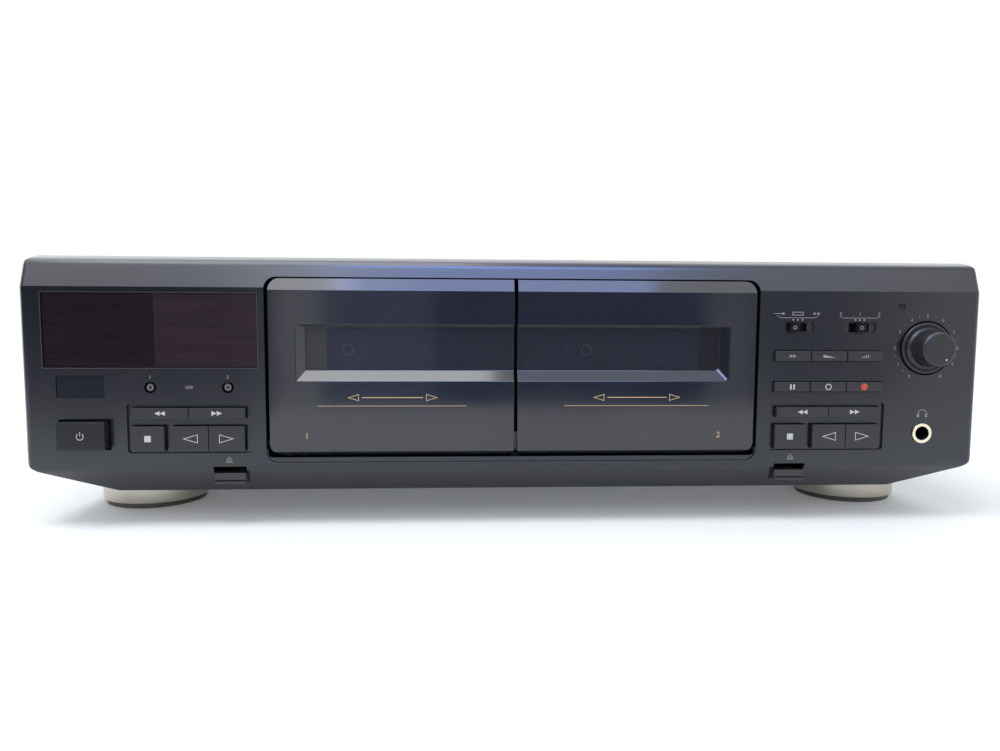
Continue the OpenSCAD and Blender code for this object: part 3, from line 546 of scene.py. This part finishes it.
def box_line(x0, x1, z0, z1, width):
    return loop(rectangle(x0, x1, z0, z1), rectangle(x0 + width, x1 - width, z0 + width, z1 - width))


def ring(x, z, r, width):
    return loop(circle_points(x, z, r), circle_points(x, z, r - width))


def triangle_points(x, z, w, h, way):
    """Corners of a triangle that points left (way -1) or right (way 1)."""
    return [(x - way * w / 2, z - h / 2), (x + way * w / 2, z), (x - way * w / 2, z + h / 2)]


def triangle(x, z, w, h, way):
    return [triangle_points(x, z, w, h, way)]


def double_triangle(x, z, w, h, way):
    return triangle(x - w / 2, z, w, h, way) + triangle(x + w / 2, z, w, h, way)


def triangle_line(x, z, w, h, way, width):
    tip = width / math.sin(math.atan2(h / 2, w))
    inner_w = w - width - tip
    inner_h = inner_w * h / w
    shift = way * (width - tip) / 2
    return loop(triangle_points(x, z, w, h, way), triangle_points(x + shift, z, inner_w, inner_h, way))


def up_triangle_line(x, z, w, h, width):
    return [[(px + x, pz + z) for pz, px in face] for face in triangle_line(0, 0, h, w, 1, width)]


def numeral(text, x, z, height):
    """A number as flat faces, centred on x and z."""
    wide = sum(DIGITS[c][1] for c in text) + DIGIT_GAP * (len(text) - 1)
    shapes = []
    start = -wide / 2
    for c in text:
        faces, advance = DIGITS[c]
        for face in faces:
            shapes.append([(x + (px + start) * height, z + (pz - 0.5) * height) for px, pz in face])
        start += advance + DIGIT_GAP
    return shapes


# Pieces made of flat shapes
PRINT_LIFT = 0.02


def flat_piece(name, body, mat, shapes, place, outward):
    """One piece of flat marks that face outward; place turns a point of a shape into a place in metres."""
    bm = bmesh.new()
    for shape in shapes:
        face = bm.faces.new([bm.verts.new(place(u, v)) for u, v in shape])
        face.normal_update()
        if face.normal.dot(outward) < 0:
            face.normal_flip()
    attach(new_piece(name, bm, [mat]), body)


def printed(name, body, y, mat, shapes):
    """Marks on the plane y (metres) that face the front."""
    lifted = y - PRINT_LIFT * MM
    flat_piece(name, body, mat, shapes, lambda u, v: (u * MM, lifted, v * MM), Vector((0, -1, 0)))


def marked(node, mat, shapes):
    """Marks on the front of a node, which ride with it."""
    printed(node + "_mark", body_of[node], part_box(node)[0].y, mat, shapes)


# Signs on the keys and buttons, about the middle of each
LINE = 0.28
WIND_W, WIND_H = 2.3, 2.1
PLAY_W, PLAY_H = 6.6, 4.0
STOP_HALF = 1.4
PAUSE_IN, PAUSE_OUT, PAUSE_HALF = 0.4, 1.1, 1.2
MUTE_R, MUTE_LINE = 1.45, 0.36
RECORD_R = 1.6
SPEED_W, SPEED_H, SPEED_SHIFT = 1.6, 1.5, -0.2
FADER_HALF_W, FADER_HALF_H = 3.0, 0.7
LEVEL_BARS, LEVEL_PITCH, LEVEL_BAR_W = 4, 1.0, 0.5
LEVEL_LOW, LEVEL_FIRST_H, LEVEL_RISE = 0.8, 0.5, 0.35
POWER_R, POWER_OPEN_STEPS = 1.6, 3
POWER_BAR_LOW, POWER_BAR_HIGH = 0.2, 2.0
RESET_R, RESET_LINE = 1.25, 0.3


def rewind_sign(x, z):
    return double_triangle(x, z, WIND_W, WIND_H, -1)


def forward_sign(x, z):
    return double_triangle(x, z, WIND_W, WIND_H, 1)


def stop_sign(x, z):
    return bar(x - STOP_HALF, x + STOP_HALF, z - STOP_HALF, z + STOP_HALF)


def reverse_sign(x, z):
    return triangle_line(x, z, PLAY_W, PLAY_H, -1, LINE)


def play_sign(x, z):
    return triangle_line(x, z, PLAY_W, PLAY_H, 1, LINE)


def pause_sign(x, z):
    left = bar(x - PAUSE_OUT, x - PAUSE_IN, z - PAUSE_HALF, z + PAUSE_HALF)
    right = bar(x + PAUSE_IN, x + PAUSE_OUT, z - PAUSE_HALF, z + PAUSE_HALF)
    return left + right


def mute_sign(x, z):
    return ring(x, z, MUTE_R, MUTE_LINE)


def record_sign(x, z):
    return disc(x, z, RECORD_R)


def speed_sign(x, z):
    return double_triangle(x + SPEED_SHIFT, z, SPEED_W, SPEED_H, 1)


def fader_sign(x, z):
    left, right = x - FADER_HALF_W, x + FADER_HALF_W
    low, high = z - FADER_HALF_H, z + FADER_HALF_H
    return [[(left, low), (right, low), (left, high)]]


def level_sign(x, z):
    shapes = []
    low = z - LEVEL_LOW
    for i in range(LEVEL_BARS):
        left = x + LEVEL_PITCH * (i - LEVEL_BARS / 2)
        shapes += bar(left, left + LEVEL_BAR_W, low, low + LEVEL_FIRST_H + LEVEL_RISE * i)
    return shapes


def power_sign(x, z):
    """A ring that is open at the top, with a bar in the opening."""
    top = CIRCLE_STEPS / 4 - 0.5
    open_ring = [
        part for i, part in enumerate(ring(x, z, POWER_R, LINE)) if abs(i - top) > POWER_OPEN_STEPS
    ]
    return bar(x - LINE / 2, x + LINE / 2, z + POWER_BAR_LOW, z + POWER_BAR_HIGH) + open_ring


def reset_sign(x, z):
    return ring(x, z, RESET_R, RESET_LINE)


DRIVE_SIGNS = {
    "rewind": rewind_sign,
    "forward": forward_sign,
    "stop": stop_sign,
    "reverse": reverse_sign,
    "play": play_sign,
}
for letter in "ab":
    for action, sign in DRIVE_SIGNS.items():
        node = "%s_key_%s" % (action, letter)
        marked(node, INK_WHITE, sign(*centre_mm(node)))

SIGNS = (
    ("pause_key", INK_WHITE, pause_sign),
    ("rec_mute_key", INK_WHITE, mute_sign),
    ("record_key", INK_RED, record_sign),
    ("dubbing_speed_key", INK_GREY, speed_sign),
    ("fader_key", INK_GREY, fader_sign),
    ("auto_level_key", INK_GREY, level_sign),
    ("power_button", INK_WHITE, power_sign),
    ("counter_reset_a", INK_GREY, reset_sign),
    ("counter_reset_b", INK_GREY, reset_sign),
)
for node, ink, sign in SIGNS:
    marked(node, ink, sign(*centre_mm(node)))


# Marks on the panel: dial, switches, eject levers, counter resets and headphone socket
SIGN_H = 1.5
DIAL_R, DIAL_DIGIT_H, DIAL_DOT_R = 14.9, 1.45, 0.2
DIAL_FIRST_DEG, DIAL_STEP_DEG, DIAL_STEPS = -150, 15, 21
SWITCH_STEP = 2.1
SWITCH_DOT_UP, SWITCH_DOT_R = 3.5, 0.42
SWITCH_LINE, SWITCH_LINE_HALF, SWITCH_LINE_UP = 0.22, 8.0, 4.4
SWITCH_END_HALF, SWITCH_END_UP = 9.6, 5.3
SWITCH_SIGN_UP = 6.3
ARROW_W, ARROW_H = 1.4, 1.3
ARROW_LINE, ARROW_START, ARROW_END, ARROW_TIP = 0.25, -11.0, -7.0, -6.6
ROUND_HALF_W, ROUND_HALF_H, ROUND_LINE = 2.6, 0.8, 0.3
RELAY_ARROWS = (8.0, 9.8)
FILTER_PITCH = 9.0
EJECT_W, EJECT_H, EJECT_LINE, EJECT_UP = 3.0, 1.7, 0.25, 3.8
EJECT_BAR_LOW, EJECT_BAR_HIGH = 2.0, 2.4
RESET_NUMBER_UP = 4.6
PHONES_UP, PHONES_R, PHONES_STEPS = 9.0, 2.0, 12
CUP_IN, CUP_OUT, CUP_LOW, CUP_HIGH = 1.5, 2.4, -1.6, 0.1


def dial_marks(x, z):
    shapes = []
    for step in range(DIAL_STEPS):
        at = turned(x, z, DIAL_R, math.radians(DIAL_FIRST_DEG + DIAL_STEP_DEG * step))
        shapes += numeral(str(step // 2), *at, DIAL_DIGIT_H) if step % 2 == 0 else disc(*at, DIAL_DOT_R)
    return shapes


def switch_marks(x, z):
    shapes = []
    for step in (-1, 0, 1):
        shapes += disc(x + SWITCH_STEP * step, z + SWITCH_DOT_UP, SWITCH_DOT_R)
    line_z = z + SWITCH_LINE_UP
    shapes += stroke((x - SWITCH_LINE_HALF, line_z), (x + SWITCH_LINE_HALF, line_z), SWITCH_LINE)
    for way in (-1, 1):
        end = (x + way * SWITCH_END_HALF, z + SWITCH_END_UP)
        shapes += stroke((x + way * SWITCH_LINE_HALF, line_z), end, SWITCH_LINE)
    return shapes


def direction_signs(x, z):
    """One arrow for one side, a frame for both sides and two arrows for both drives."""
    shapes = stroke((x + ARROW_START, z), (x + ARROW_END, z), ARROW_LINE)
    shapes += triangle(x + ARROW_TIP, z, ARROW_W, ARROW_H, 1)
    shapes += box_line(x - ROUND_HALF_W, x + ROUND_HALF_W, z - ROUND_HALF_H, z + ROUND_HALF_H, ROUND_LINE)
    for shift in RELAY_ARROWS:
        shapes += triangle(x + shift, z, ARROW_W, ARROW_H, 1)
    return shapes


def filter_signs(x, z):
    shapes = []
    for step, text in zip((-1, 0, 1), "012"):
        shapes += numeral(text, x + FILTER_PITCH * step, z, SIGN_H)
    return shapes


def headphone_mark(x, z):
    angles = [math.pi * (i / PHONES_STEPS - 0.5) for i in range(PHONES_STEPS + 1)]
    points = [turned(x, z, PHONES_R, angle) for angle in angles]
    shapes = []
    for start, end in zip(points, points[1:]):
        shapes += stroke(start, end, LINE)
    for way in (-1, 1):
        shapes += bar(*sorted((x + way * CUP_IN, x + way * CUP_OUT)), z + CUP_LOW, z + CUP_HIGH)
    return shapes


def eject_mark(letter):
    node = "eject_lever_" + letter
    x, top = middle(node).x / MM, box_mm(node)[3]
    half = EJECT_W / 2
    arrow = up_triangle_line(x, top + EJECT_UP, EJECT_W, EJECT_H, EJECT_LINE)
    return arrow + bar(x - half, x + half, top + EJECT_BAR_LOW, top + EJECT_BAR_HIGH)


# The direction switch rests one step left of its middle
direction_x, switch_z = centre_mm("direction_slider")
direction_x += SWITCH_STEP
filter_x = centre_mm("noise_filter_slider")[0]
reset_a_x, reset_z = centre_mm("counter_reset_a")
reset_b_x = centre_mm("counter_reset_b")[0]
jack_x, jack_z = centre_mm("phones_jack")
panel_shapes = (
    dial_marks(*centre_mm("rec_level_knob"))
    + switch_marks(direction_x, switch_z)
    + switch_marks(filter_x, switch_z)
    + direction_signs(direction_x, switch_z + SWITCH_SIGN_UP)
    + filter_signs(filter_x, switch_z + SWITCH_SIGN_UP)
    + numeral("1", reset_a_x, reset_z + RESET_NUMBER_UP, SIGN_H)
    + numeral("2", reset_b_x, reset_z + RESET_NUMBER_UP, SIGN_H)
    + numeral("000", (reset_a_x + reset_b_x) / 2, reset_z, SIGN_H)
    + headphone_mark(jack_x, jack_z + PHONES_UP)
    + eject_mark("a")
    + eject_mark("b")
)
printed("panel_marks", "cabinet", FRONT, INK_GREY, panel_shapes)


# Marks on the doors, by their height above the lower edge
TAPE_SIGN_UP, TAPE_SIGN_OUT, TAPE_SIGN_W, TAPE_SIGN_H = 25.7, 17.5, 5.2, 3.2
TAPE_BAR_HALF, TAPE_BAR_HALF_H = 13.5, 0.2
DOOR_LINE_UP, DOOR_LINE_HALF, DOOR_LINE = 21.8, 33.0, 0.25
DOOR_NUMBER_UP, DOOR_NUMBER_OUT, DOOR_NUMBER_H = 8.5, 38.0, 2.6


def door_marks(letter, number, way):
    """Tape signs, a fine line and the drive's number, which stands towards the outer side (way)."""
    left, right, low, high = box_mm("door_%s_cover" % letter)
    x = (left + right) / 2
    sign_z, line_z = low + TAPE_SIGN_UP, low + DOOR_LINE_UP
    shapes = []
    for side in (-1, 1):
        shapes += triangle_line(x + side * TAPE_SIGN_OUT, sign_z, TAPE_SIGN_W, TAPE_SIGN_H, side, LINE)
    shapes += bar(x - TAPE_BAR_HALF, x + TAPE_BAR_HALF, sign_z - TAPE_BAR_HALF_H, sign_z + TAPE_BAR_HALF_H)
    shapes += bar(x - DOOR_LINE_HALF, x + DOOR_LINE_HALF, line_z, line_z + DOOR_LINE)
    return shapes + numeral(number, x + way * DOOR_NUMBER_OUT, low + DOOR_NUMBER_UP, DOOR_NUMBER_H)


for letter, number, way in (("a", "1", -1), ("b", "2", 1)):
    printed("door_%s_marks" % letter, "door_" + letter, FRONT, INK_GOLD, door_marks(letter, number, way))


# Small forms: slider rings, painted shade of lever grooves and screw slots, window masks of painted light
# and shade, hub rings, a painted highlight along the display frame, and knob pointer
SLIDER_RING_R = 0.85
GROOVE_SHADE_INSET, GROOVE_SHADE_LOW, GROOVE_SHADE_HIGH = 2.0, 1.2, 2.0
SCREW_R, SLOT_HALF, SLOT_HALF_W = 4.0, 2.0, 0.4
MASK_DEPTH = 4.0
MASK_IN = (15.25, 24.95)
MASK_UP = (37.6, 57.4)
HUB_R, HUB_LINE = 2.7, 1.0
FRAME_INSET, FRAME_W = 0.5, 0.3
POINTER_DEG, POINTER_OUT, POINTER_R = 147, 5.6, 0.45

for node in SLIDERS:
    marked(node, INK_GREY, ring(*centre_mm(node), SLIDER_RING_R, LINE))

# A black bar across each eject lever paints the shade of a groove
for letter in "ab":
    node = "eject_lever_" + letter
    left, right, low, high = box_mm(node)
    painted_groove_shade = bar(left + GROOVE_SHADE_INSET, right - GROOVE_SHADE_INSET, low + GROOVE_SHADE_LOW, low + GROOVE_SHADE_HIGH)
    marked(node, SHADE_BLACK, painted_groove_shade)


def paint_screw_slot_shade(name, way):
    """Painted shade of crossed slots on the screw heads of the left (way -1) or right side (way 1), drawn
    in y and z.
    """
    low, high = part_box("cover_screws")
    z = (low.z + high.z) / 2 / MM
    shapes = []
    for y in (low.y / MM + SCREW_R, high.y / MM - SCREW_R):
        shapes += bar(y - SLOT_HALF, y + SLOT_HALF, z - SLOT_HALF_W, z + SLOT_HALF_W)
        shapes += bar(y - SLOT_HALF_W, y + SLOT_HALF_W, z - SLOT_HALF, z + SLOT_HALF)
    x = way * (high.x + PRINT_LIFT * MM)
    flat_piece(name, "cabinet", SHADE_BLACK, shapes, lambda u, v: (x, u * MM, v * MM), Vector((way, 0, 0)))


paint_screw_slot_shade("screw_slots_left", -1)
paint_screw_slot_shade("screw_slots_right", 1)

# A sheet behind each window: painted light behind door a, painted shade behind door b
for letter, way, mat in (("a", -1, MASK_PAINTED_LIGHT), ("b", 1, MASK_PAINTED_SHADE)):
    left, right, low, high = box_mm("door_%s_cover" % letter)
    outer = right if way > 0 else left
    x0, x1 = sorted(outer - way * reach for reach in MASK_IN)
    shapes = bar(x0, x1, low + MASK_UP[0], low + MASK_UP[1])
    printed("door_%s_mask" % letter, "door_" + letter, FRONT + MASK_DEPTH * MM, mat, shapes)

for letter in "ab":
    node = "reel_%s_left" % letter
    marked(node, HUB, ring(*centre_mm(node), HUB_R, HUB_LINE))

# A thin lighter line inside the display's edges paints the highlight on its frame
left, right, low, high = box_mm("display_window")
frame_highlight_line = box_line(
    left + FRAME_INSET, right - FRAME_INSET, low + FRAME_INSET, high - FRAME_INSET, FRAME_W
)
printed("display_frame", "cabinet", FRONT, FRAME_HIGHLIGHT, frame_highlight_line)

knob_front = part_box("rec_level_knob")[0].y
pointer = turned(*centre_mm("rec_level_knob"), POINTER_OUT, math.radians(POINTER_DEG))
printed("knob_pointer", "rec_level_knob", knob_front, INK_WHITE, disc(*pointer, POINTER_R))


# Studio: white surroundings and a pale floor
WHITE = (1.0, 1.0, 1.0, 1.0)
FLOOR_COLOUR = (0.91, 0.95, 0.985, 1.0)
FLOOR_GLOW = 0.08
FLOOR_FRONT = FRONT - 0.42
FLOOR_HALF, FLOOR_BACK = 3.0, 4.0

world = bpy.data.worlds.new("white_room")
world.use_nodes = True
world.node_tree.nodes["Background"].inputs["Color"].default_value = WHITE
world.node_tree.nodes["Background"].inputs["Strength"].default_value = 1.0
bpy.context.scene.world = world


def seen_strength(tree, shown):
    """A strength for what the camera, gloss and glass see, and none for soft light."""
    path = tree.nodes.new("ShaderNodeLightPath")
    seen = path.outputs["Is Camera Ray"]
    for ray in ("Is Glossy Ray", "Is Transmission Ray"):
        either = tree.nodes.new("ShaderNodeMath")
        either.operation = "MAXIMUM"
        tree.links.new(seen, either.inputs[0])
        tree.links.new(path.outputs[ray], either.inputs[1])
        seen = either.outputs["Value"]
    strength = tree.nodes.new("ShaderNodeMath")
    strength.operation = "MULTIPLY"
    strength.inputs[1].default_value = shown
    tree.links.new(seen, strength.inputs[0])
    return strength.outputs["Value"]


def floor_material():
    mat = bpy.data.materials.new("floor_white")
    mat.use_nodes = True
    tree = mat.node_tree
    tree.nodes.remove(tree.nodes["Principled BSDF"])
    diffuse = tree.nodes.new("ShaderNodeBsdfDiffuse")
    diffuse.inputs["Color"].default_value = FLOOR_COLOUR
    glow = tree.nodes.new("ShaderNodeEmission")
    tree.links.new(seen_strength(tree, FLOOR_GLOW), glow.inputs["Strength"])
    both = tree.nodes.new("ShaderNodeAddShader")
    tree.links.new(diffuse.outputs["BSDF"], both.inputs[0])
    tree.links.new(glow.outputs["Emission"], both.inputs[1])
    tree.links.new(both.outputs["Shader"], tree.nodes["Material Output"].inputs["Surface"])
    return mat


def sheet_object(name, corners, mat):
    mesh = bpy.data.meshes.new(name)
    mesh.from_pydata(corners, [], [[0, 1, 2, 3]])
    mesh.materials.append(mat)
    piece = bpy.data.objects.new(name, mesh)
    bpy.context.scene.collection.objects.link(piece)
    return piece


floor_corners = [(x, y, 0) for x, y in rectangle(-FLOOR_HALF, FLOOR_HALF, FLOOR_FRONT, FLOOR_BACK)]
sheet_object("floor", floor_corners, floor_material())


# Cards in front of the deck and on its left, which show only as gloss
CARD_ROUGH = 0.9
CARD_TOP = 0.36
SIDE_CARD_X, SIDE_CARD_BACK = -0.8, FRONT + 0.02


def card_material(name, colour):
    mat = bpy.data.materials.new(name)
    mat.use_nodes = True
    shader = mat.node_tree.nodes["Principled BSDF"]
    shader.inputs["Base Color"].default_value = colour + (1.0,)
    shader.inputs["Roughness"].default_value = CARD_ROUGH
    return mat


def reflected_card(name, mat, a, b):
    """A card from a to b on the floor that shows only in glossy surfaces."""
    card = sheet_object(name, [(*a, 0), (*b, 0), (*b, CARD_TOP), (*a, CARD_TOP)], mat)
    card.visible_camera = False
    card.visible_diffuse = False
    card.visible_shadow = False


DARK_CARD = card_material("card_dark", (0.05, 0.055, 0.07))
PALE_CARD = card_material("card_pale", (0.78, 0.8, 0.83))
BLUE_CARD = card_material("card_blue", (0.28, 0.31, 0.53))
NAVY_CARD = card_material("card_navy", (0.08, 0.11, 0.27))
GREY_CARD = card_material("card_grey", (0.52, 0.52, 0.6))
DIM_CARD = card_material("card_dim", (0.24, 0.25, 0.28))
# Name, material, left end, right end and distance in front of the deck
FRONT_CARDS = (
    ("card_front_dark", DARK_CARD, -1.1, -0.194, 0.36),
    ("card_front_pale", PALE_CARD, -0.206, -0.16, 0.42),
    ("card_front_blue", BLUE_CARD, -0.16, -0.052, 0.42),
    ("card_front_navy", NAVY_CARD, -0.052, 0.221, 0.42),
    ("card_front_grey", GREY_CARD, 0.221, 0.264, 0.42),
    ("card_front_dim", DIM_CARD, 0.258, 0.4, 0.4),
)
for name, mat, x0, x1, away in FRONT_CARDS:
    reflected_card(name, mat, (x0, FRONT - away), (x1, FRONT - away))
reflected_card("card_left", DARK_CARD, (SIDE_CARD_X, FLOOR_FRONT), (SIDE_CARD_X, SIDE_CARD_BACK))


# Lights: one soft box above, and sheen boxes that show only as gloss on the pieces of the front
BACK_NODES = ("top_cover", "rear_panel", "rear_feet", "rear_fittings")
front_pieces = bpy.data.collections.new("front_pieces")
for piece in bpy.data.objects:
    if piece.name.endswith("_look") and piece.name.removesuffix("_look") not in BACK_NODES:
        front_pieces.objects.link(piece)


def soft_box(name, x, place, aim, size, watts, colour):
    """A rectangular soft light; place and aim are y and z at the same x."""
    data = bpy.data.lights.new(name, "AREA")
    data.shape = "RECTANGLE"
    data.size, data.size_y = size
    data.energy = watts
    data.color = colour
    lamp = bpy.data.objects.new(name, data)
    lamp.location = (x, *place)
    lamp.rotation_euler = (Vector((x, *aim)) - lamp.location).to_track_quat("-Z", "Y").to_euler()
    bpy.context.scene.collection.objects.link(lamp)
    return lamp


COOL = (0.9, 0.93, 1.0)
PALE = (0.92, 0.95, 1.0)
SHEEN_Y = FRONT - 0.55
ABOVE, BELOW = (-0.36, 1.15), (-0.3, 0.0)
UPPER_BEVEL = (FRONT, 0.113)
# Name, x, place and aim as y and z, size, watts and colour
SHEEN_BOXES = (
    ("sheen_left", -0.525, (SHEEN_Y, 0.67), UPPER_BEVEL, (0.85, 0.5), 1.8, COOL),
    ("sheen_right", 0.325, (SHEEN_Y, 0.67), UPPER_BEVEL, (0.85, 0.5), 1.2, COOL),
    ("sheen_spot", -0.25, (SHEEN_Y + 0.02, 0.65), UPPER_BEVEL, (0.15, 0.2), 0.2, PALE),
    ("sheen_middle", 0.025, (SHEEN_Y + 0.01, 0.66), UPPER_BEVEL, (0.46, 0.48), 2.8, (0.25, 0.4, 1.0)),
    ("sheen_high", 0.03, (FRONT - 0.43, 0.78), UPPER_BEVEL, (0.5, 0.16), 2.3, (0.2, 0.36, 1.0)),
    ("sheen_above", 0.4, ABOVE, BELOW, (0.66, 0.5), 0.8, (0.37, 0.48, 1.0)),
    ("sheen_back", 0.0, (0.35, 0.9), (FRONT, 0.12), (1.8, 0.8), 14.0, PALE),
)
soft_box("soft_box_above", -0.365, ABOVE, BELOW, (0.8, 0.5), 6.0, (0.95, 0.97, 1.0))
for sheen in SHEEN_BOXES:
    lamp = soft_box(*sheen)
    lamp.visible_diffuse = False
    lamp.light_linking.receiver_collection = front_pieces


# Camera, fitted to the photograph
EYE = Vector((-24.03, FRONT / MM - 350.48, 100.18)) * MM
YAW, PITCH, ROLL = 0.0577, 0.0874, 0.0058
FOCAL_PX, WIDTH_PX = 785.48, 1000.0
SHIFT_X, SHIFT_Y = -0.0076, -0.0033
SENSOR_W = 36.0
CLIP_START = 0.01
ahead = Vector((math.sin(YAW) * math.cos(PITCH), math.cos(YAW) * math.cos(PITCH), -math.sin(PITCH)))
level = Vector((math.cos(YAW), -math.sin(YAW), 0.0))
upright = level.cross(ahead)
view_right = math.cos(ROLL) * level + math.sin(ROLL) * upright
view_up = -math.sin(ROLL) * level + math.cos(ROLL) * upright
data = bpy.data.cameras.new("camera")
data.sensor_width = SENSOR_W
data.lens = FOCAL_PX / WIDTH_PX * SENSOR_W
data.shift_x, data.shift_y = SHIFT_X, SHIFT_Y
data.clip_start = CLIP_START
camera = bpy.data.objects.new("camera", data)
turn = Matrix((view_right, view_up, -ahead)).transposed()
camera.matrix_world = Matrix.Translation(EYE) @ turn.to_4x4()
bpy.context.scene.collection.objects.link(camera)
bpy.context.scene.camera = camera
bpy.context.scene.view_settings.view_transform = "Standard"

bpy.context.view_layer.update()
